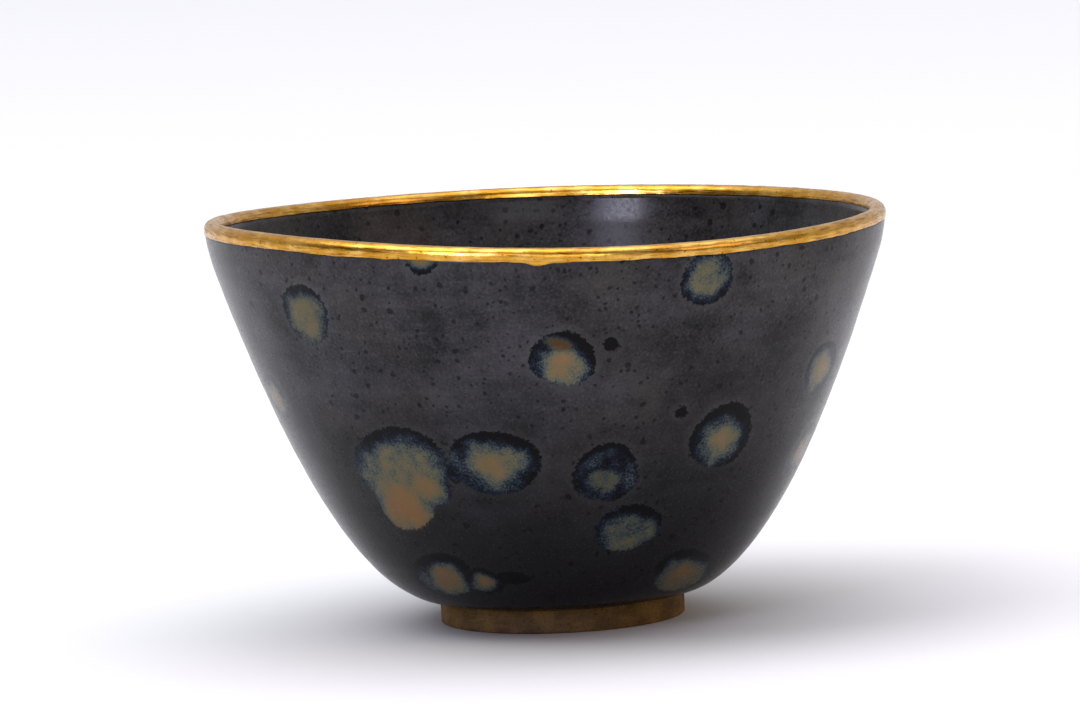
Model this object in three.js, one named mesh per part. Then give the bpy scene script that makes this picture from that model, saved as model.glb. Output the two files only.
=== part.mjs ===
// A tenmoku tea bowl: a wide, hollow stoneware bowl on a small foot ring, with a thin metal band
// folded over its lip. Millimetres, +Z up. The origin is the middle of the foot ring's underside.
import * as THREE from 'three';

// Outer form of the bowl
const rimDiameter = 119.8;
const bowlHeight = 71.5;
const footDiameter = 43.1;
const footHeight = 4.4;
const flareAngle = THREE.MathUtils.degToRad(71.8);

// Near the lip the wall turns a little more upright
const lipAngle = THREE.MathUtils.degToRad(84);
const lipTurnLength = 7;

// Wall thickness at the lip, low in the wall and in the middle of the floor
const lipThickness = 2.7;
const wallThickness = 5;
const floorThickness = 5.2;

// Foot ring: a flat ring around a shallow turned recess
const footRingWidth = 6.6;
const footRecessDepth = 2.8;
const footEdgeBreak = 0.4;

// Metal band over the lip. It lies in a shallow seat, so that it stands only a little proud of the
// glaze, and it is clear of the clay all round.
const bandThickness = 0.3;
const bandWidthOutside = 0.8;
const bandWidthInside = 0.5;
const bandProud = 0.1;
const bandClearance = 0.2;

// Slow waves of the rim, as a thrown bowl has: how many waves go round the rim, how high they are,
// and the angle of a crest, counted from the front (-Y) towards +X
const rimTilt = 1.25;
const rimSaddle = 0.63;
const rimRipple = 0.25;
const rimWaves = [
  { count: 1, height: rimTilt, crest: THREE.MathUtils.degToRad(-90) },
  { count: 2, height: rimSaddle, crest: THREE.MathUtils.degToRad(-68) },
  { count: 3, height: rimRipple, crest: THREE.MathUtils.degToRad(-53) },
];

// Shares that give the section its curve: how long each handle is against the line from the foot to
// where the lip turns, and where along the wall the inside leaves it for the rounded floor
const footHandleShare = 0.021;
const flareHandleShare = 0.944;
const poolShare = 0.16;

// Fineness of the facets. Steps up the wall crowd towards the foot, where it turns most.
const stepsRound = 72;
const stepsUpWall = 14;
const stepsOverLip = 5;
const stepsOverPool = 6;
const crowding = 1.3;

const footRadius = footDiameter / 2;
const seatDepth = bandClearance + bandThickness - bandProud;
const wall = outerWall();
const wallLength = wall.getLength();

// The outside of the wall in section, from the top of the foot to the lip
function outerWall() {
  const foot = new THREE.Vector2(footRadius, footHeight);
  const lip = new THREE.Vector2(
    rimDiameter / 2 - bandProud,
    bowlHeight - bandProud - (lipThickness / 2) * (1 + Math.cos(lipAngle)),
  );
  const flare = new THREE.Vector2(Math.cos(flareAngle), Math.sin(flareAngle));
  const upright = new THREE.Vector2(Math.cos(lipAngle), Math.sin(lipAngle));
  const corner = lip.clone().addScaledVector(upright, -lipTurnLength / 2);
  const turn = corner.clone().addScaledVector(flare, -lipTurnLength / 2);
  const reach = foot.distanceTo(turn);
  const footHandle = foot.clone().add(new THREE.Vector2(reach * footHandleShare, 0));
  const flareHandle = turn.clone().addScaledVector(flare, -reach * flareHandleShare);
  const outline = new THREE.CurvePath();
  outline.add(new THREE.CubicBezierCurve(foot, footHandle, flareHandle, turn));
  outline.add(new THREE.QuadraticBezierCurve(turn, corner, lip));
  return outline;
}

// A point in section at a share of the wall's length, so many millimetres in from its outside
function wallPoint(share, depth) {
  const along = wall.getTangentAt(share);
  return wall.getPointAt(share).add(new THREE.Vector2(-along.y, along.x).multiplyScalar(depth));
}

function thicknessAt(share) {
  return THREE.MathUtils.lerp(wallThickness, lipThickness, share);
}

// Points up the wall between two shares of its length, at a depth that may change on the way
function wallPoints(from, to, steps, depthAt) {
  const points = [];
  for (let i = 0; i <= steps; i += 1) {
    const share = THREE.MathUtils.lerp(from, to, (i / steps) ** crowding);
    points.push(wallPoint(share, depthAt(share)));
  }
  return points;
}

// The round top of the lip in section, from outside to inside, at a depth below its surface
function lipPoints(depth) {
  const middle = wallPoint(1, lipThickness / 2);
  const radius = lipThickness / 2 - depth;
  const start = lipAngle - Math.PI / 2;
  const points = [];
  for (let i = 1; i < stepsOverLip; i += 1) {
    const angle = start + (Math.PI * i) / stepsOverLip;
    points.push(new THREE.Vector2(Math.cos(angle), Math.sin(angle)).multiplyScalar(radius).add(middle));
  }
  return points;
}

// The rounded floor inside, from where it leaves the wall to the middle
function poolPoints() {
  const start = wallPoint(poolShare, thicknessAt(poolShare));
  const along = wall.getTangentAt(poolShare);
  const floorLevel = footRecessDepth + floorThickness;
  const turn = new THREE.Vector2(start.x - ((start.y - floorLevel) * along.x) / along.y, floorLevel);
  const middle = new THREE.Vector2(0, floorLevel);
  return new THREE.QuadraticBezierCurve(start, turn, middle).getPoints(stepsOverPool).slice(1);
}

function footPoints() {
  const ringInside = footRadius - footRingWidth;
  return [
    new THREE.Vector2(0, footRecessDepth),
    new THREE.Vector2(ringInside, footRecessDepth),
    new THREE.Vector2(ringInside, 0),
    new THREE.Vector2(footRadius - footEdgeBreak, 0),
    new THREE.Vector2(footRadius, footEdgeBreak),
  ];
}

// How far the rim's waves lift a point, growing from nothing at the foot to all of it at the rim
function rimLift(angle, height) {
  const share = height / bowlHeight;
  let lift = 0;
  for (const wave of rimWaves) {
    lift += wave.height * Math.cos(wave.count * (angle - wave.crest));
  }
  return lift * share * share;
}

// A section turned about the upright axis, with the rim's waves in it
function turned(points) {
  const geometry = new THREE.LatheGeometry(points, stepsRound);
  geometry.rotateX(Math.PI / 2);
  const position = geometry.getAttribute('position');
  for (let i = 0; i < position.count; i += 1) {
    const angle = Math.atan2(position.getX(i), -position.getY(i));
    position.setZ(i, position.getZ(i) + rimLift(angle, position.getZ(i)));
  }
  geometry.computeVertexNormals();
  return geometry;
}

function bowlBody() {
  const glaze = new THREE.MeshStandardMaterial({ color: 0x38363a, roughness: 0.32, metalness: 0.1 });
  const seatOutside = 1 - (bandWidthOutside + bandClearance) / wallLength;
  const seatInside = 1 - (bandWidthInside + bandClearance) / wallLength;
  const inside = wallPoints(poolShare, seatInside, stepsUpWall, thicknessAt).reverse();
  const section = [
    ...footPoints(),
    ...wallPoints(0, seatOutside, stepsUpWall, () => 0),
    ...wallPoints(seatOutside, 1, 1, () => seatDepth),
    ...lipPoints(seatDepth),
    ...wallPoints(1, seatInside, 1, (share) => thicknessAt(share) - seatDepth),
    ...inside,
    ...poolPoints(),
  ];
  const mesh = new THREE.Mesh(turned(section), glaze);
  mesh.name = 'bowl_body';
  return mesh;
}

// One face of the band in section, from its outside edge over the lip to its inside edge
function bandFace(depth) {
  return [
    ...wallPoints(1 - bandWidthOutside / wallLength, 1, 1, () => depth),
    ...lipPoints(depth),
    ...wallPoints(1, 1 - bandWidthInside / wallLength, 1, (share) => thicknessAt(share) - depth),
  ];
}

function rimBand() {
  const gold = new THREE.MeshStandardMaterial({ color: 0xc8902a, roughness: 0.3, metalness: 1 });
  const outside = bandFace(-bandProud);
  const inside = bandFace(bandThickness - bandProud).reverse();
  const mesh = new THREE.Mesh(turned([...outside, ...inside, outside[0].clone()]), gold);
  mesh.name = 'rim_band';
  return mesh;
}

const teaBowl = new THREE.Group();
teaBowl.add(bowlBody(), rimBand());

export default teaBowl;
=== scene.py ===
import math
import random

import bmesh
import bpy
import numpy as np
from mathutils import Matrix, Vector, noise


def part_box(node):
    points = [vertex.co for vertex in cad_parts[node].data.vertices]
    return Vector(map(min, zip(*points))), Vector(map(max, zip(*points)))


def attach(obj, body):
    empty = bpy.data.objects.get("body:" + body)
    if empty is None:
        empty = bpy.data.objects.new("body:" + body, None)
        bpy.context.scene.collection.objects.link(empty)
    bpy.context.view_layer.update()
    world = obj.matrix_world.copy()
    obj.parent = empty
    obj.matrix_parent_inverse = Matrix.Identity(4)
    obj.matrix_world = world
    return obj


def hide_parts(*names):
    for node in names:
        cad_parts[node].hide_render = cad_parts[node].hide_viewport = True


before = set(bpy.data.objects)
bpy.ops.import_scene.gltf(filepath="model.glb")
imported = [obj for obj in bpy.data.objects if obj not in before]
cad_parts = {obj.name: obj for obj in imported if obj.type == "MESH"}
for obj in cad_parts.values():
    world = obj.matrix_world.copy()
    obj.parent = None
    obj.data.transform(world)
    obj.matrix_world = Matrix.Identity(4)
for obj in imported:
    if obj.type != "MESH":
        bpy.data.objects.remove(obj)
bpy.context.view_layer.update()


# The camera: a long lens a little above the rim, level with the middle of the bowl and turned a
# little, so that the bowl's right side stands higher in the picture, as in the photograph.
mm = 0.001
picture_width = 1080
focal_pixels = 6808
view_rise = math.radians(6.27)
view_roll = math.radians(2.69)
view_distance = 1.2
view_aim = Vector((-2.0, 0, 45.6)) * mm

camera = bpy.data.objects.new("camera", bpy.data.cameras.new("camera"))
camera.data.sensor_width = 36
camera.data.lens = camera.data.sensor_width * focal_pixels / picture_width
camera.data.clip_end = 100
backward = Vector((0, -math.cos(view_rise), math.sin(view_rise)))
level_right = Vector((1, 0, 0))
level_up = backward.cross(level_right)
roll_right = level_right * math.cos(view_roll) - level_up * math.sin(view_roll)
roll_up = level_right * math.sin(view_roll) + level_up * math.cos(view_roll)
camera.matrix_world = Matrix.Translation(view_aim + backward * view_distance) @ Matrix(
    (roll_right, roll_up, backward)
).transposed().to_4x4()
bpy.context.scene.collection.objects.link(camera)
bpy.context.scene.camera = camera


# The bowl: one wall of dark stoneware, thrown on a wheel as a wide flaring cup on a small foot ring
# that is turned out of the same clay. A thick iron glaze covers it inside and out and ends in a soft
# roll where the wall meets the foot.
band_proud = 0.1 * mm
rim_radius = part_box("rim_band")[1].x
bowl_height = 71.5 * mm
foot_radius = 21.55 * mm
foot_height = 4.4 * mm
flare_angle = math.radians(71.8)
lip_angle = math.radians(84)
lip_turn_length = 7 * mm
lip_thickness = 2.7 * mm
wall_thickness = 5 * mm
floor_thickness = 5.2 * mm
ring_width = 6.6 * mm
recess_depth = 2.8 * mm
foot_handle_share = 0.021
flare_handle_share = 0.944
pool_share = 0.16
seat_depth = 0.4 * mm
seat_width = 0.45 * mm
glaze_roll = 0.35 * mm
rim_waves = ((1, 1.25 * mm, -90), (2, 0.63 * mm, -68), (3, 0.25 * mm, -53))


def wall_curve():
    """The outside of the wall in section, as many points from the foot to the lip, and their lengths."""
    flare = np.array((math.cos(flare_angle), math.sin(flare_angle)))
    upright = np.array((math.cos(lip_angle), math.sin(lip_angle)))
    foot = np.array((foot_radius, foot_height))
    lip_level = bowl_height - band_proud - lip_thickness / 2 * (1 + upright[0])
    lip = np.array((rim_radius - band_proud, lip_level))
    corner = lip - upright * lip_turn_length / 2
    turn = corner - flare * lip_turn_length / 2
    reach = np.linalg.norm(turn - foot)
    foot_handle = foot + (reach * foot_handle_share, 0)
    flare_handle = turn - flare * reach * flare_handle_share
    rise_steps = 600
    t = np.linspace(0, 1, rise_steps)[:, None]
    rise = (
        (1 - t) ** 3 * foot
        + 3 * (1 - t) ** 2 * t * foot_handle
        + 3 * (1 - t) * t**2 * flare_handle
        + t**3 * turn
    )
    over_steps = 50
    t = np.linspace(1 / over_steps, 1, over_steps)[:, None]
    over = (1 - t) ** 2 * turn + 2 * (1 - t) * t * corner + t**2 * lip
    points = np.concatenate((rise, over))
    lengths = np.concatenate(([0], np.cumsum(np.linalg.norm(np.diff(points, axis=0), axis=1))))
    return points, lengths


wall_points, wall_lengths = wall_curve()
wall_length = wall_lengths[-1]


def wall_at(length, depth):
    """A point in section, so far up the wall from the foot and so deep under its outside."""
    step = 0.2 * mm
    x, z = (np.interp(length, wall_lengths, wall_points[:, i]) for i in (0, 1))
    before, after = max(length - step, 0), min(length + step, wall_length)
    along_x, along_z = (
        np.interp(after, wall_lengths, wall_points[:, i])
        - np.interp(before, wall_lengths, wall_points[:, i])
        for i in (0, 1)
    )
    size = math.hypot(along_x, along_z)
    return (x - along_z / size * depth, z + along_x / size * depth)


def thickness_at(length):
    return wall_thickness + (lip_thickness - wall_thickness) * length / wall_length


def lip_arc(depth, steps):
    """The round top of the lip in section, from outside to inside."""
    middle_x, middle_z = wall_at(wall_length, lip_thickness / 2)
    radius = lip_thickness / 2 - depth
    points = []
    for i in range(1, steps):
        angle = lip_angle - math.pi / 2 + math.pi * i / steps
        points.append((middle_x + radius * math.cos(angle), middle_z + radius * math.sin(angle)))
    return points


def foot_section():
    """The bare foot in section, from the middle of the recess to just under the glaze."""
    ring_inside = foot_radius - ring_width
    edge = 0.35 * mm
    recess_steps = 8
    side_steps = 8
    points = [(ring_inside * i / recess_steps, recess_depth) for i in range(recess_steps)]
    points += [(ring_inside - edge, recess_depth), (ring_inside, recess_depth - edge)]
    points += [(ring_inside, edge), (ring_inside + edge, 0)]
    points += [(ring_inside + ring_width * i / 6, 0) for i in range(1, 6)]
    for i in range(4):
        angle = math.pi / 2 * i / 3
        points.append((foot_radius - edge + edge * math.sin(angle), edge - edge * math.cos(angle)))
    side = foot_height - glaze_roll - edge
    points += [(foot_radius, edge + side * i / side_steps) for i in range(1, side_steps + 1)]
    return points


def glazed_section():
    """The glazed bowl in section, from the roll of glaze over the lip to the middle of the floor."""
    roll_width = 1.1 * mm
    roll_steps = 7
    roll_fade = 9
    fade_length = 3 * mm
    points = []
    for i in range(1, roll_steps + 1):
        length = roll_width * (i / roll_steps) ** 2
        swell = glaze_roll * math.sqrt(1 - (1 - i / roll_steps) ** 2) * (1 - i / roll_fade)
        points.append(wall_at(length, -swell))
    outside_steps = 104
    seat_start = wall_length - seat_width
    for i in range(1, outside_steps + 1):
        length = roll_width + (seat_start - roll_width) * i / outside_steps
        swell = glaze_roll * (1 - roll_steps / roll_fade) * math.exp((roll_width - length) / fade_length)
        points.append(wall_at(length, -swell))
    points += [wall_at(seat_start + seat_width * i / 3, seat_depth) for i in range(1, 4)]
    points += lip_arc(seat_depth, 6)
    points += [
        wall_at(wall_length - seat_width * i / 3, thickness_at(wall_length) - seat_depth)
        for i in range(3)
    ]
    inside_steps = 68
    pool_length = wall_length * pool_share
    for i in range(inside_steps + 1):
        length = seat_start + (pool_length - seat_start) * i / inside_steps
        points.append(wall_at(length, thickness_at(length)))
    start, before = np.array(points[-1]), np.array(points[-2])
    along = (start - before) / np.linalg.norm(start - before)
    floor_level = recess_depth + floor_thickness
    turn = start + along * (start[1] - floor_level) / -along[1]
    pool_steps = 24
    for i in range(1, pool_steps + 1):
        t = i / pool_steps
        point = (1 - t) ** 2 * start + 2 * (1 - t) * t * turn + t**2 * np.array((0, floor_level))
        points.append(tuple(point))
    return points


def add(tree, kind, inputs=(), **settings):
    """Adds a node with its settings. Inputs go in by order or by name, as values, nodes or sockets."""
    node = tree.nodes.new(kind)
    for name, value in settings.items():
        setattr(node, name, value)
    sockets = [socket for socket in node.inputs if socket.enabled]
    if isinstance(inputs, dict):
        by_name = {socket.name: socket for socket in sockets}
        sockets, inputs = [by_name[name] for name in inputs], inputs.values()
    for socket, value in zip(sockets, inputs):
        if isinstance(value, bpy.types.Node):
            value = next(output for output in value.outputs if output.enabled)
        if isinstance(value, bpy.types.NodeSocket):
            tree.links.new(value, socket)
        else:
            socket.default_value = value
    return node


def turning_tree():
    """A node tree that turns a section about the upright axis and gives the rim its slow waves."""
    tree = bpy.data.node_groups.new("turned on the wheel", "GeometryNodeTree")
    face = tree.interface
    face.new_socket("Section", in_out="INPUT", socket_type="NodeSocketGeometry")
    face.new_socket("Steps Round", in_out="INPUT", socket_type="NodeSocketInt")
    face.new_socket("Full Height", in_out="INPUT", socket_type="NodeSocketFloat")
    for count, _, _ in rim_waves:
        face.new_socket(f"Wave {count} Height", in_out="INPUT", socket_type="NodeSocketFloat")
        face.new_socket(f"Wave {count} Crest", in_out="INPUT", socket_type="NodeSocketFloat")
    face.new_socket("Finish", in_out="INPUT", socket_type="NodeSocketMaterial")
    face.new_socket("Geometry", in_out="OUTPUT", socket_type="NodeSocketGeometry")
    given = add(tree, "NodeGroupInput").outputs
    section = given["Section"]
    place = add(tree, "GeometryNodeInputPosition")

    # A flat sheet with one row for each point of the section
    size = add(tree, "GeometryNodeAttributeDomainSize", [section], component="MESH")
    rows = size.outputs["Point Count"]
    columns = add(tree, "ShaderNodeMath", [given["Steps Round"], 1.0], operation="ADD")
    sheet = add(tree, "GeometryNodeMeshGrid", [1.0, 1.0, columns, rows]).outputs["Mesh"]
    on_sheet = add(tree, "ShaderNodeSeparateXYZ", [place]).outputs
    last_row = add(tree, "ShaderNodeMath", [rows, 1.0], operation="SUBTRACT")
    row = add(tree, "ShaderNodeMapRange", [on_sheet["Y"], -0.5, 0.5, 0.0, last_row])
    row = add(tree, "ShaderNodeMath", [row], operation="ROUND")
    angle = add(tree, "ShaderNodeMapRange", [on_sheet["X"], -0.5, 0.5, 0.0, math.tau])

    # Each row takes its point's place in the section, and how far along the section it lies
    reading = add(tree, "GeometryNodeSampleIndex", [section, place, row], data_type="FLOAT_VECTOR")
    point = add(tree, "ShaderNodeSeparateXYZ", [reading]).outputs
    along = add(tree, "GeometryNodeInputNamedAttribute", {"Name": "along"}, data_type="FLOAT")
    along = add(tree, "GeometryNodeSampleIndex", [section, along, row], data_type="FLOAT")
    sheet = add(
        tree,
        "GeometryNodeStoreNamedAttribute",
        {"Geometry": sheet, "Name": "along", "Value": along},
        data_type="FLOAT",
        domain="POINT",
    )

    # The waves of the rim, which fade towards the foot
    height_share = add(tree, "ShaderNodeMath", [point["Z"], given["Full Height"]], operation="DIVIDE")
    fade = add(tree, "ShaderNodeMath", [height_share, 2.0], operation="POWER")
    height = point["Z"]
    for count, _, _ in rim_waves:
        turn = add(tree, "ShaderNodeMath", [angle, given[f"Wave {count} Crest"]], operation="SUBTRACT")
        turn = add(tree, "ShaderNodeMath", [turn, float(count)], operation="MULTIPLY")
        wave = add(tree, "ShaderNodeMath", [turn], operation="COSINE")
        lift = add(tree, "ShaderNodeMath", [fade, given[f"Wave {count} Height"]], operation="MULTIPLY")
        height = add(tree, "ShaderNodeMath", [wave, lift, height], operation="MULTIPLY_ADD")

    # The sheet is rolled round the axis from the front towards the right, and its seam is closed
    outward = add(tree, "ShaderNodeCombineXYZ", [0.0, point["X"], height])
    turned = add(
        tree,
        "ShaderNodeVectorRotate",
        {"Vector": outward, "Angle": add(tree, "ShaderNodeMath", [angle, math.pi], operation="ADD")},
        rotation_type="Z_AXIS",
    )
    formed = add(tree, "GeometryNodeSetPosition", {"Geometry": sheet, "Position": turned})
    closed = add(tree, "GeometryNodeMergeByDistance", {"Geometry": formed, "Distance": 1e-6})
    smooth = add(tree, "GeometryNodeSetShadeSmooth", [closed])
    real = add(tree, "GeometryNodeRealizeInstances", [smooth])
    finished = add(tree, "GeometryNodeSetMaterial", {"Geometry": real, "Material": given["Finish"]})
    add(tree, "NodeGroupOutput", [finished])
    return tree


turning = turning_tree()


def turn_section(name, points, steps_round, finish):
    """A closed piece turned from a section, as a plain mesh object with its faces outward."""
    mesh = bpy.data.meshes.new(name)
    edges = [(i, i + 1) for i in range(len(points) - 1)]
    mesh.from_pydata([(x, 0, z) for x, z in points], edges, [])
    steps = np.linalg.norm(np.diff(np.array(points), axis=0), axis=1)
    along = mesh.attributes.new("along", "FLOAT", "POINT")
    along.data.foreach_set("value", np.concatenate(([0], np.cumsum(steps))).astype(np.float32))
    piece = bpy.data.objects.new(name, mesh)
    bpy.context.scene.collection.objects.link(piece)
    modifier = piece.modifiers.new("turning", "NODES")
    modifier.node_group = turning
    values = {"Steps Round": steps_round, "Full Height": bowl_height, "Finish": finish}
    for count, height, crest in rim_waves:
        values[f"Wave {count} Height"] = height
        values[f"Wave {count} Crest"] = math.radians(crest)
    for item in turning.interface.items_tree:
        if item.name in values:
            modifier[item.identifier] = values[item.name]
    graph = bpy.context.evaluated_depsgraph_get()
    made = bpy.data.meshes.new_from_object(piece.evaluated_get(graph))
    piece.modifiers.clear()
    piece.data = made
    made.name = name
    made.materials.clear()
    made.materials.append(finish)
    shell = bmesh.new()
    shell.from_mesh(made)
    bmesh.ops.dissolve_degenerate(shell, dist=1e-7, edges=shell.edges)
    bmesh.ops.recalc_face_normals(shell, faces=shell.faces)
    shell.to_mesh(made)
    shell.free()
    return piece


def srgb(code):
    """A colour written as sRGB hex, as the linear red, green, blue and alpha that a shader takes."""
    parts = [int(code[i : i + 2], 16) / 255 for i in (1, 3, 5)]
    return tuple(c / 12.92 if c <= 0.04045 else ((c + 0.055) / 1.055) ** 2.4 for c in parts) + (1.0,)


def new_finish(name):
    """An empty material, its node tree and its shader."""
    material = bpy.data.materials.new(name)
    material.use_nodes = True
    tree = material.node_tree
    tree.nodes.clear()
    shader = add(tree, "ShaderNodeBsdfPrincipled")
    add(tree, "ShaderNodeOutputMaterial", [shader])
    return material, tree, shader


# Oil-spot tenmoku glaze: iron-rich glaze fired until its surface turns to a satin, gunmetal skin of
# fine crystals. The eye sees a mottled charcoal grey that goes nearly black towards the foot, partly
# where the glaze is thick and partly as painted shade under the bowl, small dark specks, and bright
# edges where it mirrors white surroundings.
def oil_spot_glaze():
    material, tree, shader = new_finish("oil spot tenmoku glaze")
    where = add(tree, "ShaderNodeTexCoord").outputs["Object"]
    height = add(tree, "ShaderNodeSeparateXYZ", [where]).outputs["Z"]
    edge = add(tree, "ShaderNodeAttribute", attribute_name="spot_edge").outputs["Fac"]
    heart = add(tree, "ShaderNodeAttribute", attribute_name="spot_heart").outputs["Fac"]
    warmth = add(tree, "ShaderNodeAttribute", attribute_name="spot_warmth").outputs["Fac"]
    bloom_and_shade = add(tree, "ShaderNodeAttribute", attribute_name="spot_bloom_and_shade").outputs["Fac"]

    # The crystal skin: clouds 14 mm across, patches 3 mm across, faint level bands from the throwing
    # and a grain of half a millimetre. A faint pale halo lies round each oil spot
    clouds = add(tree, "ShaderNodeTexNoise", [where, 1 / (14 * mm), 3.0])
    patches = add(tree, "ShaderNodeTexNoise", [where, 1 / (3 * mm), 4.0])
    crystals = add(tree, "ShaderNodeTexNoise", [where, 1 / (0.5 * mm), 2.0])
    levelled = add(tree, "ShaderNodeMapping", {"Vector": where, "Scale": (0.08, 0.08, 1)})
    bands = add(tree, "ShaderNodeTexNoise", [levelled, 1 / (1.6 * mm), 3.0])
    skin = add(tree, "ShaderNodeMath", [patches, 0.5, clouds], operation="MULTIPLY_ADD")
    skin = add(tree, "ShaderNodeMath", [bands, 0.4, skin], operation="MULTIPLY_ADD")
    skin = add(tree, "ShaderNodeMath", [crystals, 0.65, skin], operation="MULTIPLY_ADD")
    silver = add(tree, "ShaderNodeMapRange", [skin, 1.0, 1.55])
    brown = add(tree, "ShaderNodeTexNoise", [where, 1 / (20 * mm), 2.0])
    brown = add(
        tree, "ShaderNodeMapRange", [brown, 0.45, 0.65, 0.0, 0.7], interpolation_type="SMOOTHSTEP"
    )
    pale = add(tree, "ShaderNodeMix", [brown, srgb("#4a494d"), srgb("#46413e")], data_type="RGBA")
    ground = add(tree, "ShaderNodeMix", [silver, srgb("#222123"), pale], data_type="RGBA")
    halo = add(
        tree, "ShaderNodeMapRange", [edge, -1.8, -0.1, 0.0, 0.3], interpolation_type="SMOOTHSTEP"
    )
    ground = add(tree, "ShaderNodeMix", [halo, ground, srgb("#565657")], data_type="RGBA")
    # Painted shade: towards the foot the colour goes nearly black, partly for the thicker glaze there
    # and partly standing in for the shade under the bowl
    low = add(tree, "ShaderNodeMath", [clouds, 12 * mm, height], operation="MULTIPLY_ADD")
    thick_glaze_and_shade = add(tree, "ShaderNodeMapRange", [low, 73 * mm, 13 * mm], interpolation_type="SMOOTHSTEP")
    ground = add(tree, "ShaderNodeMix", [thick_glaze_and_shade, ground, srgb("#151418")], data_type="RGBA")

    # Dark specks, up to 1.3 mm and up to 0.8 mm across, each at a chance place and of a chance size
    nudge = add(tree, "ShaderNodeTexNoise", [where, 1 / (1.2 * mm)]).outputs["Color"]
    nudged = add(tree, "ShaderNodeVectorMath", [nudge, (0.9 * mm,) * 3, where], operation="MULTIPLY_ADD")
    for cell, largest, strength in ((2.2 * mm, 0.3, 0.75), (1.1 * mm, 0.38, 0.75)):
        cells = add(tree, "ShaderNodeTexVoronoi", [nudged, 1 / cell])
        chance = add(tree, "ShaderNodeSeparateColor", [cells.outputs["Color"]])
        size = add(tree, "ShaderNodeMath", [chance, 2.0], operation="POWER")
        size = add(tree, "ShaderNodeMapRange", [size, 0.0, 1.0, -0.06, largest])
        inside = add(tree, "ShaderNodeMath", [size, cells.outputs["Distance"]], operation="SUBTRACT")
        speck = add(
            tree,
            "ShaderNodeMapRange",
            [inside, -0.08, 0.08, 0.0, strength],
            interpolation_type="SMOOTHSTEP",
        )
        ground = add(tree, "ShaderNodeMix", [speck, ground, srgb("#0a0807")], data_type="RGBA")

    # The oil spots. The dark ring of each has fine teeth half a millimetre apart, and its heart, which
    # stays within the ring, breaks up into dots of 0.3 mm, drawn as coarse as the picture can show.
    # From the ring inwards the heart ripens from navy through grey green and olive to tan and rust
    teeth = add(tree, "ShaderNodeTexNoise", [where, 1 / (0.55 * mm), 1.0])
    teeth = add(tree, "ShaderNodeMath", [teeth, 1.7, edge], operation="MULTIPLY_ADD")
    ring = add(tree, "ShaderNodeMapRange", [teeth, 0.7, 1.0], interpolation_type="SMOOTHSTEP")
    ground = add(tree, "ShaderNodeMix", [ring, ground, srgb("#020205")], data_type="RGBA")
    dots = add(tree, "ShaderNodeTexNoise", [where, 1 / (0.34 * mm), 1.0])
    reach = add(tree, "ShaderNodeMath", [dots, 3.2, heart], operation="MULTIPLY_ADD")
    reach = add(tree, "ShaderNodeMath", [patches, 5.0, reach], operation="MULTIPLY_ADD")
    ripe = srgb("#1a2436")
    for start, end, colour in ((3.7, 5.1, "#4b5654"), (4.6, 6.2, "#6f6a50"), (5.7, 8.2, "#86704f")):
        share = add(tree, "ShaderNodeMapRange", [reach, start, end], interpolation_type="SMOOTHSTEP")
        ripe = add(tree, "ShaderNodeMix", [share, ripe, srgb(colour)], data_type="RGBA")
    rust = add(
        tree, "ShaderNodeMapRange", [reach, 5.2, 7.6, 0.0, warmth], interpolation_type="SMOOTHSTEP"
    )
    ripe = add(tree, "ShaderNodeMix", [rust, ripe, srgb("#935b2c")], data_type="RGBA")
    # Bloom sets how far the heart shows over the black. It is lower on the low spots, partly as painted
    # shade
    within = add(
        tree, "ShaderNodeMapRange", [teeth, 0.6, 1.2, 0.0, bloom_and_shade], interpolation_type="SMOOTHSTEP"
    )
    share = add(
        tree, "ShaderNodeMapRange", [reach, 2.7, 4.1, 0.0, within], interpolation_type="SMOOTHSTEP"
    )
    ground = add(tree, "ShaderNodeMix", [share, ground, ripe], data_type="RGBA")
    tree.links.new(ground.outputs[2], shader.inputs["Base Color"])

    # A satin gloss. The skin of crystals scatters much of what bare glaze would mirror
    rough = add(tree, "ShaderNodeMapRange", [crystals, 0.3, 0.7, 0.16, 0.3])
    tree.links.new(rough.outputs[0], shader.inputs["Roughness"])
    shader.inputs["IOR"].default_value = 1.5
    shader.inputs["Specular IOR Level"].default_value = 0.1
    relief = add(tree, "ShaderNodeMath", [crystals, 0.15, patches], operation="MULTIPLY_ADD")
    bump = add(tree, "ShaderNodeBump", {"Strength": 0.2, "Distance": 0.1 * mm, "Height": relief})
    tree.links.new(bump.outputs[0], shader.inputs["Normal"])
    return material


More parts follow.
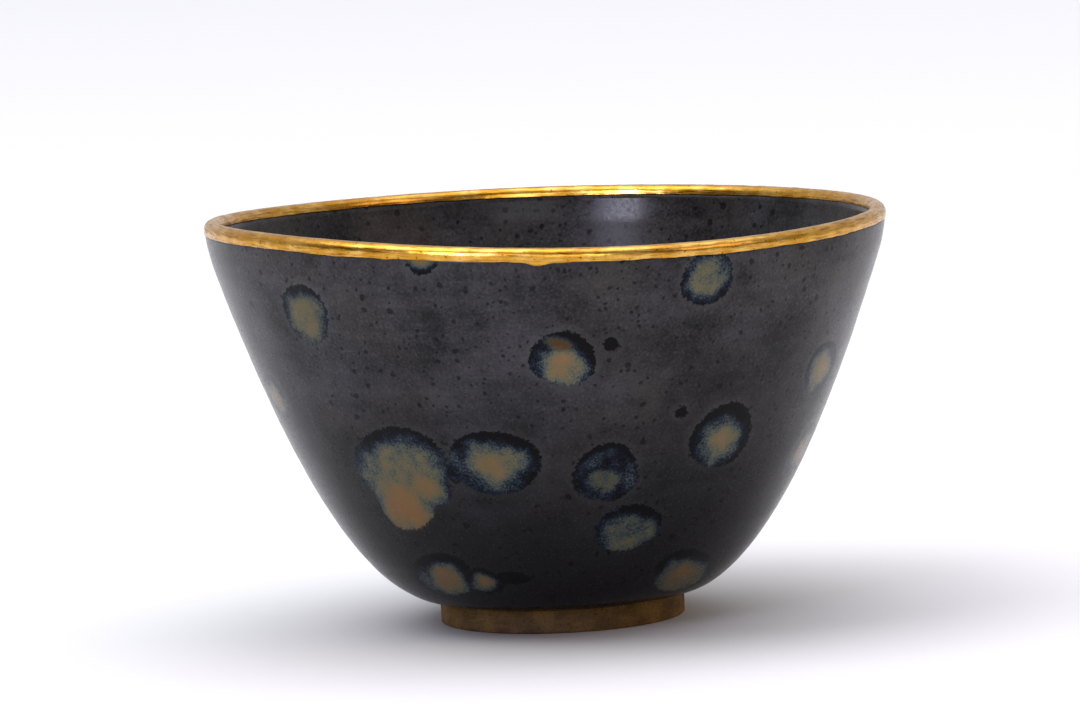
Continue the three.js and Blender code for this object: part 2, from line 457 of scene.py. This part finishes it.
# Bare stoneware clay on the foot: turned with a metal tool, fired brown and left rough, so it looks
# dry, with fine sand in it and faint rings from the tool.
def bare_clay():
    material, tree, shader = new_finish("bare turned stoneware")
    where = add(tree, "ShaderNodeTexCoord").outputs["Object"]
    flattened = add(tree, "ShaderNodeMapping", {"Vector": where, "Scale": (0.15, 0.15, 1)})
    rings = add(tree, "ShaderNodeTexNoise", [flattened, 1 / (0.5 * mm), 2.0])
    blotches = add(tree, "ShaderNodeTexNoise", [where, 1 / (5 * mm), 3.0])
    sand = add(tree, "ShaderNodeTexNoise", [where, 1 / (0.35 * mm), 2.0])
    pale = add(tree, "ShaderNodeMapRange", [blotches, 0.35, 0.7], interpolation_type="SMOOTHSTEP")
    colour = add(tree, "ShaderNodeMix", [pale, srgb("#62441a"), srgb("#8c682e")], data_type="RGBA")
    dark = add(tree, "ShaderNodeMapRange", [sand, 0.56, 0.72])
    colour = add(tree, "ShaderNodeMix", [dark, colour, srgb("#38240d")], data_type="RGBA")
    ridge = add(tree, "ShaderNodeMapRange", [rings, 0.5, 0.7, 0.0, 0.4])
    colour = add(tree, "ShaderNodeMix", [ridge, colour, srgb("#8c6f38")], data_type="RGBA")
    tree.links.new(colour.outputs[2], shader.inputs["Base Color"])
    shader.inputs["Roughness"].default_value = 0.82
    shader.inputs["Specular IOR Level"].default_value = 0.25
    relief = add(tree, "ShaderNodeMath", [rings, 0.6, sand], operation="MULTIPLY_ADD")
    bump = add(tree, "ShaderNodeBump", {"Strength": 0.6, "Distance": 0.15 * mm, "Height": relief})
    tree.links.new(bump.outputs[0], shader.inputs["Normal"])
    return material


foot_line = foot_section()
glaze_line = glazed_section()
bowl_steps_round = 360
bowl = turn_section("tea_bowl", foot_line + glaze_line, bowl_steps_round, oil_spot_glaze())
bowl.data.materials.append(bare_clay())

section = np.array(foot_line + glaze_line)
section_lengths = np.concatenate(([0], np.cumsum(np.linalg.norm(np.diff(section, axis=0), axis=1))))
glaze_start = section_lengths[len(foot_line) - 1]
top_point = int(np.argmax(section[:, 1]))
lip_top = section_lengths[top_point]
outside_points = slice(len(foot_line), top_point)
inside_points = slice(None, top_point, -1)

# Where each oil spot lies: degrees round from the front towards the right, and height up the wall,
# width and height of the spot in millimetres. Lean turns its top to the left, in degrees. Ring is the
# share of the spot's size that its dark ring takes, and bias makes that thicker towards the clock hour
# that heavy gives. Bloom is how far the pale heart shows. It is kept lower on the spots low on the
# wall, partly as painted shade there. Warmth is how rusty the heart is. Ripest keeps a heart blue or
# green.
outside_spots = []
inside_spots = []


def spot(
    turn,
    up,
    wide,
    tall,
    lean=0,
    ring=0.25,
    bias=0.12,
    heavy=12,
    bloom_and_shade=1.0,
    warmth=0.0,
    ripest=9.0,
    side=outside_spots,
):
    """Adds one oil spot to those of the bowl's outside or inside."""
    side.append((turn, up, wide, tall, lean, ring, bias, heavy, bloom_and_shade, warmth, ripest))


spot(-47.0, 58.6, 11.4, 10.8, lean=6, ring=0.14, bias=0.2, bloom_and_shade=0.7, ripest=2.4)
spot(-20.8, 69.4, 5.4, 6.0, ring=-0.1, bias=-0.6, bloom_and_shade=0.8)
spot(2.0, 52.0, 10.8, 10.8, ring=0.35, bias=0.46, heavy=12.3, warmth=0.35)
spot(1.4, 54.7, 5.6, 2.6, lean=-14, ring=-0.1, bias=0.0, bloom_and_shade=0.32, warmth=0.85)
spot(10.5, 54.2, 2.7, 2.8, ring=0.9, bloom_and_shade=0.0)
spot(27.2, 64.9, 10.4, 9.8, ring=0.2, bias=0.06, heavy=6, bloom_and_shade=0.9, ripest=1.3)
spot(-35.5, 32.0, 20.5, 16.0, lean=8, ring=0.1, bias=0.34, bloom_and_shade=0.8, warmth=0.1, ripest=1.7)
spot(-38.0, 26.6, 12.0, 14.5, lean=-10, ring=0.05, bias=0.4, bloom_and_shade=0.76, warmth=0.42)
spot(-30.5, 29.0, 9.5, 9.0, ring=0.1, bias=0.3, heavy=1, bloom_and_shade=0.72, warmth=0.15)
spot(-22.5, 31.5, 2.8, 4.4, ring=0.9, bloom_and_shade=0.0)
spot(-13.0, 33.5, 16.6, 12.4, lean=12, ring=0.3, bias=0.2, heavy=1, bloom_and_shade=0.82, warmth=0.2)
spot(10.5, 30.9, 12.0, 11.4, lean=-10, ring=0.2, bias=0.35, bloom_and_shade=0.8, ripest=-0.6)
spot(9.8, 29.6, 7.6, 6.2, lean=-10, ring=0.2, bloom_and_shade=0.5, ripest=1.2)
spot(17.2, 20.3, 11.5, 10.6, lean=-10, ring=0.2, bias=0.34, bloom_and_shade=0.62, ripest=1.1)
spot(36.5, 35.7, 12.6, 13.4, lean=-25, ring=0.36, bias=0.22, bloom_and_shade=0.85)
spot(25.5, 40.9, 2.4, 2.6, ring=0.9, bloom_and_shade=0.0)
spot(64.2, 44.9, 12.5, 10.0, ring=0.2, bloom_and_shade=0.9)
spot(72.0, 29.3, 12.0, 9.6, ring=0.2, bloom_and_shade=0.8)
spot(-71.5, 42.5, 12.0, 8.0, ring=0.2, bloom_and_shade=0.8)
# The spots low on the wall have less bloom, partly as painted shade near the foot
spot(-37.0, 12.0, 14.0, 10.4, lean=20, ring=0.28, bias=0.46, bloom_and_shade=0.6, warmth=0.35)
spot(-23.5, 11.0, 6.8, 7.0, ring=0.3, bias=0.2, heavy=1, bloom_and_shade=0.55, warmth=0.35)
spot(-15.0, 11.7, 6.6, 3.4, ring=0.9, bloom_and_shade=0.0)
spot(40.8, 10.2, 16.0, 10.4, lean=-24, ring=0.2, bias=0.4, bloom_and_shade=0.55, warmth=0.3)


def scatter(side, points, low_turn, high_turn, low_up, high_up, wanted, seed):
    """More spots of the same kind where the photograph doesn't reach, kept apart from each other."""
    draw = random.Random(seed)
    placed = 0
    most_tries = 400
    least_gap = 4
    no_heart_under = 5
    for _ in range(most_tries):
        turn, up = draw.uniform(low_turn, high_turn), draw.uniform(low_up, high_up)
        wide = draw.choice((3, 6, 9, 11, 13, 16))
        radius = np.interp(up * mm, section[points, 1], section[points, 0]) / mm
        gaps = (
            math.hypot(radius * math.radians((turn - other[0] + 180) % 360 - 180), up - other[1])
            - (wide + other[2]) / 2
            for other in side
        )
        if min(gaps, default=2 * least_gap) > least_gap:
            ring, bloom_and_shade = draw.uniform(0.15, 0.4), draw.uniform(0.6, 0.9)
            if wide < no_heart_under:
                ring, bloom_and_shade = 0.9, 0.0
            tall, lean = wide * draw.uniform(0.8, 1.05), draw.uniform(-25, 25)
            warmth, ripest = draw.choice((0, 0, 0.3, 0.6)), draw.choice((0.4, 1.4, 9.0))
            spot(turn, up, wide, tall, lean, ring, 0.3, 12, bloom_and_shade, warmth, ripest, side)
            placed += 1
        if placed == wanted:
            break


scatter(outside_spots, outside_points, 86, 276, 12, 64, 24, seed=5)
scatter(inside_spots, inside_points, 0, 360, 14, 48, 14, seed=9)


def spot_fields(piece):
    """Stores how far inside a spot's edge each point lies, and how ripe the spot's heart is there."""
    usual_half = 5.5
    nowhere = -9.0
    mesh = piece.data
    count = len(mesh.vertices)
    places = np.empty(count * 3, dtype=np.float32)
    mesh.vertices.foreach_get("co", places)
    places = places.reshape(-1, 3) / mm
    along = np.empty(count, dtype=np.float32)
    mesh.attributes["along"].data.foreach_get("value", along)
    radius = np.hypot(places[:, 0], places[:, 1])
    turn = np.degrees(np.arctan2(places[:, 0], -places[:, 1]))
    fields = {name: np.full(count, nowhere) for name in ("spot_edge", "spot_heart")}
    fields.update({name: np.zeros(count) for name in ("spot_warmth", "spot_bloom_and_shade")})
    sides = (
        (outside_spots, along <= lip_top, outside_points, 1),
        (inside_spots, along > lip_top, inside_points, -1),
    )
    for spots, here, points, upward in sides:
        for number, one_spot in enumerate(spots):
            centre_turn, up, wide, tall, lean, ring, bias, heavy, bloom_and_shade, warmth, ripest = one_spot
            centre_along = np.interp(up * mm, section[points, 1], section_lengths[points])
            across = radius * np.radians((turn - centre_turn + 180) % 360 - 180)
            rise = (along - centre_along) / mm * upward
            tilt = math.radians(lean)
            side_way = across * math.cos(tilt) + rise * math.sin(tilt)
            up_way = rise * math.cos(tilt) - across * math.sin(tilt)
            round_way = np.arctan2(up_way / tall, side_way / wide)
            wobble = 1 + 0.05 * np.sin(2 * round_way + number)
            wobble += 0.035 * np.sin(3 * round_way + 2 * number)
            share = np.hypot(side_way / wide, up_way / tall) * 2 / wobble
            half = (wide + tall) / 4
            edge = np.where(here, (1 - share) * half, nowhere)
            toward = math.radians(90 - heavy * 30)
            lean_in = np.cos(np.arctan2(rise, across) - toward) * np.minimum(share, 1)
            heart = np.minimum((1 - share - ring - bias * lean_in) * usual_half, ripest)
            heart = np.where(here, heart, nowhere)
            taken = np.clip((heart - fields["spot_heart"]) / 4 + 0.5, 0, 1) * here
            low_warm = warmth * np.clip(0.75 - 0.5 * lean_in, 0, 1)
            fields["spot_bloom_and_shade"] += (bloom_and_shade - fields["spot_bloom_and_shade"]) * taken
            fields["spot_warmth"] += (low_warm - fields["spot_warmth"]) * taken
            fields["spot_edge"] = np.maximum(edge, fields["spot_edge"])
            fields["spot_heart"] = np.maximum(heart, fields["spot_heart"])
    for name, values in fields.items():
        kept = mesh.attributes.new(name, "FLOAT", "POINT")
        kept.data.foreach_set("value", values.astype(np.float32))
    return fields


def shape_surface(piece, fields):
    """The hand-thrown unevenness of the wall, its faint throwing rings, and the sunken spots."""
    mesh = piece.data
    along = np.empty(len(mesh.vertices), dtype=np.float32)
    mesh.attributes["along"].data.foreach_get("value", along)
    normals = [v.normal.copy() for v in mesh.vertices]
    swell_height = 0.16
    dimple_height = 0.05
    ring_height = 0.04
    spot_depth = 0.05
    tool_mark_height = 0.05
    flat_foot_height = 0.3
    sink = np.clip(fields["spot_edge"] + 0.6, 0, 1.2) / 1.2
    for i, v in enumerate(mesh.vertices):
        p = v.co / mm
        near_lip = min(abs(along[i] - lip_top) / (4 * mm), 1.0)
        if along[i] > glaze_start + 2 * mm:
            swell = swell_height * noise.noise(p / 26) + dimple_height * noise.noise(p / 9)
            rings = ring_height * noise.noise(Vector((p.x / 40, p.y / 40, along[i] / mm / 2.6)))
            move = (swell + rings) * near_lip - spot_depth * sink[i]
        elif p.z < flat_foot_height:
            move = 0.0
        else:
            move = tool_mark_height * noise.noise(Vector((p.x / 9, p.y / 9, p.z * 1.6)))
        v.co += normals[i] * move * mm


def mark_clay(piece):
    """Gives the bare clay's material to the faces under the glaze line."""
    mesh = piece.data
    along = np.empty(len(mesh.vertices), dtype=np.float32)
    mesh.attributes["along"].data.foreach_get("value", along)
    for face in mesh.polygons:
        face.use_smooth = True
        if max(along[i] for i in face.vertices) <= glaze_start + 1e-6:
            face.material_index = 1


fields = spot_fields(bowl)
shape_surface(bowl, fields)
mark_clay(bowl)
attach(bowl, "root")
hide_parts("bowl_body")


# The rim band: a thin strip of gilt metal, folded over the lip outside and inside and burnished
# down by hand, so that its edges wander and lie close on the glaze.
band_thickness = 0.3 * mm
band_outside = 0.8 * mm
band_inside = 0.5 * mm
band_edge_sink = 0.04 * mm


def band_face():
    """The part of the band that shows, in section: outside face, over the lip and inside face."""
    steps = 10
    points = []
    for i in range(steps + 1):
        t = i / steps
        depth = band_edge_sink - (band_proud + band_edge_sink) * min(1, math.sqrt(t * 4))
        points.append(wall_at(wall_length - band_outside * (1 - t), depth))
    points += lip_arc(-band_proud, 14)
    for i in range(steps + 1):
        t = 1 - i / steps
        length = wall_length - band_inside * (1 - t)
        depth = band_edge_sink - (band_proud + band_edge_sink) * min(1, math.sqrt(t * 4))
        points.append(wall_at(length, thickness_at(length) - depth))
    return points


def band_underside():
    """The hidden side of the band in section, from its inside edge back to its outside edge."""
    under = band_thickness - band_proud
    points = [
        wall_at(wall_length - seat_width, thickness_at(wall_length) - under),
        wall_at(wall_length, thickness_at(wall_length) - under),
    ]
    points += lip_arc(under, 8)[::-1]
    points.append(wall_at(wall_length, under))
    points.append(wall_at(wall_length - seat_width, under))
    return points


# Burnished gilt metal: soft gold leaf rubbed down along the rim. It mirrors its surroundings in
# long streaks, with dark pits and darker lines where the metal was dragged.
def burnished_gold():
    material, tree, shader = new_finish("burnished gilt metal")
    where = add(tree, "ShaderNodeTexCoord").outputs["Object"]
    along = add(tree, "ShaderNodeAttribute", attribute_name="along").outputs["Fac"]
    parts = add(tree, "ShaderNodeSeparateXYZ", [where]).outputs
    slow_x = add(tree, "ShaderNodeMath", [parts["X"], 0.08], operation="MULTIPLY")
    slow_y = add(tree, "ShaderNodeMath", [parts["Y"], 0.08], operation="MULTIPLY")
    drawn_out = add(tree, "ShaderNodeCombineXYZ", [slow_x, slow_y, along])
    streaks = add(tree, "ShaderNodeTexNoise", [drawn_out, 1 / (0.3 * mm), 3.0])
    leaf = add(tree, "ShaderNodeTexNoise", [where, 1 / (4 * mm), 3.0])
    pits = add(tree, "ShaderNodeTexNoise", [where, 1 / (0.45 * mm), 1.0])
    pale = add(tree, "ShaderNodeMapRange", [leaf, 0.35, 0.7], interpolation_type="SMOOTHSTEP")
    colour = add(tree, "ShaderNodeMix", [pale, srgb("#c48c2c"), srgb("#e0b058")], data_type="RGBA")
    dark = add(tree, "ShaderNodeMapRange", [streaks, 0.46, 0.72, 0.0, 0.7])
    colour = add(tree, "ShaderNodeMix", [dark, colour, srgb("#6f4712")], data_type="RGBA")
    pit = add(tree, "ShaderNodeMapRange", [pits, 0.66, 0.76, 0.0, 0.8])
    colour = add(tree, "ShaderNodeMix", [pit, colour, srgb("#2f1c08")], data_type="RGBA")
    tree.links.new(colour.outputs[2], shader.inputs["Base Color"])
    shader.inputs["Metallic"].default_value = 1.0
    rough = add(tree, "ShaderNodeMapRange", [streaks, 0.3, 0.75, 0.16, 0.4])
    tree.links.new(rough.outputs[0], shader.inputs["Roughness"])
    relief = add(tree, "ShaderNodeMath", [leaf, 0.6, streaks], operation="MULTIPLY_ADD")
    bump = add(tree, "ShaderNodeBump", {"Strength": 0.3, "Distance": 0.08 * mm, "Height": relief})
    tree.links.new(bump.outputs[0], shader.inputs["Normal"])
    return material


face_line = band_face()
face_length = float(np.linalg.norm(np.diff(np.array(face_line), axis=0), axis=1).sum())
band_line = face_line + band_underside() + face_line[:1]
band_steps_round = 720
band = turn_section("gilt_rim", band_line, band_steps_round, burnished_gold())

# Bulges of the band's outer edge that the photograph shows: degrees round, drop and width in
# millimetres
edge_bulges = (
    (-1.6, 0.75, 4.0),
    (2.0, 0.25, 4.0),
    (-27.4, 0.3, 3.0),
    (-12.0, 0.15, 4.0),
    (31.0, 0.15, 5.0),
    (-36.0, 0.22, 14.0),
)


def work_band(piece):
    """The wandering edges and the small dents that burnishing leaves."""
    mesh = piece.data
    along = np.empty(len(mesh.vertices), dtype=np.float32)
    mesh.attributes["along"].data.foreach_get("value", along)
    upright = Vector((math.cos(lip_angle), 0, math.sin(lip_angle)))
    normals = [v.normal.copy() for v in mesh.vertices]
    for i, v in enumerate(mesh.vertices):
        p = v.co / mm
        turn = math.degrees(math.atan2(p.x, -p.y))
        outward = Vector((p.x, p.y, 0)).normalized()
        down = -(outward * upright.x + Vector((0, 0, upright.z)))
        on_face = along[i] < face_length + 1e-5
        dent = 0.035 * noise.noise(p / 2.6) + 0.025 * noise.noise(p / 0.9)
        v.co += normals[i] * (dent if on_face else 0) * mm
        outer_share = max(0.0, 1 - along[i] / band_outside)
        inner_share = max(0.0, 1 - abs(face_length - along[i]) / band_outside) if on_face else 0.0
        ragged = 0.16 * noise.noise(p / 5.5) + 0.1 * noise.noise(p / 1.6)
        for centre, drop, width in edge_bulges:
            away = math.radians(turn - centre) * rim_radius / mm
            ragged += drop * math.exp(-((away / width * 2) ** 2))
        v.co += down * ragged * max(outer_share, inner_share) * mm


work_band(band)
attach(band, "root")
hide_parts("rim_band")


# The room: a plain pale floor of matt white paper and a white tent of soft light, brighter from the
# left, as for a photograph of a single thing.
def pale_floor():
    material, _, shader = new_finish("matt white paper")
    shader.inputs["Base Color"].default_value = srgb("#e9e9ec")
    shader.inputs["Roughness"].default_value = 0.9
    shader.inputs["Specular IOR Level"].default_value = 0.2
    return material


floor_reach = 12.0
floor_mesh = bpy.data.meshes.new("floor")
floor_corners = [(x * floor_reach, y * floor_reach, 0) for x, y in ((-1, -1), (1, -1), (1, 1), (-1, 1))]
floor_mesh.from_pydata(floor_corners, [], [(0, 1, 2, 3)])
floor_mesh.materials.append(pale_floor())
floor = bpy.data.objects.new("floor", floor_mesh)
bpy.context.scene.collection.objects.link(floor)


def soft_light(name, turn, rise, distance, wide, tall, power, colour="#ffffff", card=False):
    """A soft light that looks at the bowl from so many degrees round and up. A card only mirrors."""
    light = bpy.data.lights.new(name, "AREA")
    light.shape = "RECTANGLE"
    light.size = wide
    light.size_y = tall
    light.energy = power
    light.color = srgb(colour)[:3]
    lamp = bpy.data.objects.new(name, light)
    lamp.visible_diffuse = not card
    a, e = math.radians(turn), math.radians(rise)
    away = Vector((math.sin(a) * math.cos(e), -math.cos(a) * math.cos(e), math.sin(e)))
    lamp.location = away * distance
    lamp.rotation_euler = away.to_track_quat("Z", "Y").to_euler()
    bpy.context.scene.collection.objects.link(lamp)


soft_light("high_left", -75, 60, 2.5, 1.5, 1.5, 20)
soft_light("front_left", -30, 28, 2.6, 0.8, 0.8, 8, "#e6e4ff")
soft_light("right", 62, 30, 2.5, 1.2, 1.2, 8, "#ffdcb8")
soft_light("card_left", -30, 22, 2.4, 0.45, 0.9, 46, "#e6e4ff", card=True)
soft_light("card_front", 8, 17, 2.3, 1.0, 1.0, 10, card=True)

# The tent is bright overhead and behind, and dim in front, so that the floor is dark under the bowl.
# Within a degree of the horizon it is nearly as pale as the floor, which seems to go on
world = bpy.data.worlds.new("white tent")
world.use_nodes = True
tent = world.node_tree
tent.nodes.clear()
direction = add(tent, "ShaderNodeTexCoord").outputs["Generated"]
sides = add(tent, "ShaderNodeSeparateXYZ", [direction]).outputs
upward = add(tent, "ShaderNodeMapRange", [sides["Z"], 0.0, 1.0])
overhead = add(tent, "ShaderNodeMath", [upward, 8.0], operation="POWER")
behind = add(
    tent, "ShaderNodeMapRange", [sides["Y"], -0.42, 0.38, 0.04, 0.75], interpolation_type="SMOOTHSTEP"
)
strength = add(tent, "ShaderNodeMath", [overhead, 3.55, behind], operation="MULTIPLY_ADD")
horizon = add(tent, "ShaderNodeMapRange", [sides["Z"], 0.02, 0.012, 0.0, 0.8])
strength = add(tent, "ShaderNodeMath", [strength, horizon], operation="MAXIMUM")
sky = add(tent, "ShaderNodeBackground", [srgb("#f6f6fa"), strength])
add(tent, "ShaderNodeOutputWorld", [sky])
bpy.context.scene.world = world
bpy.context.scene.view_settings.view_transform = "Standard"
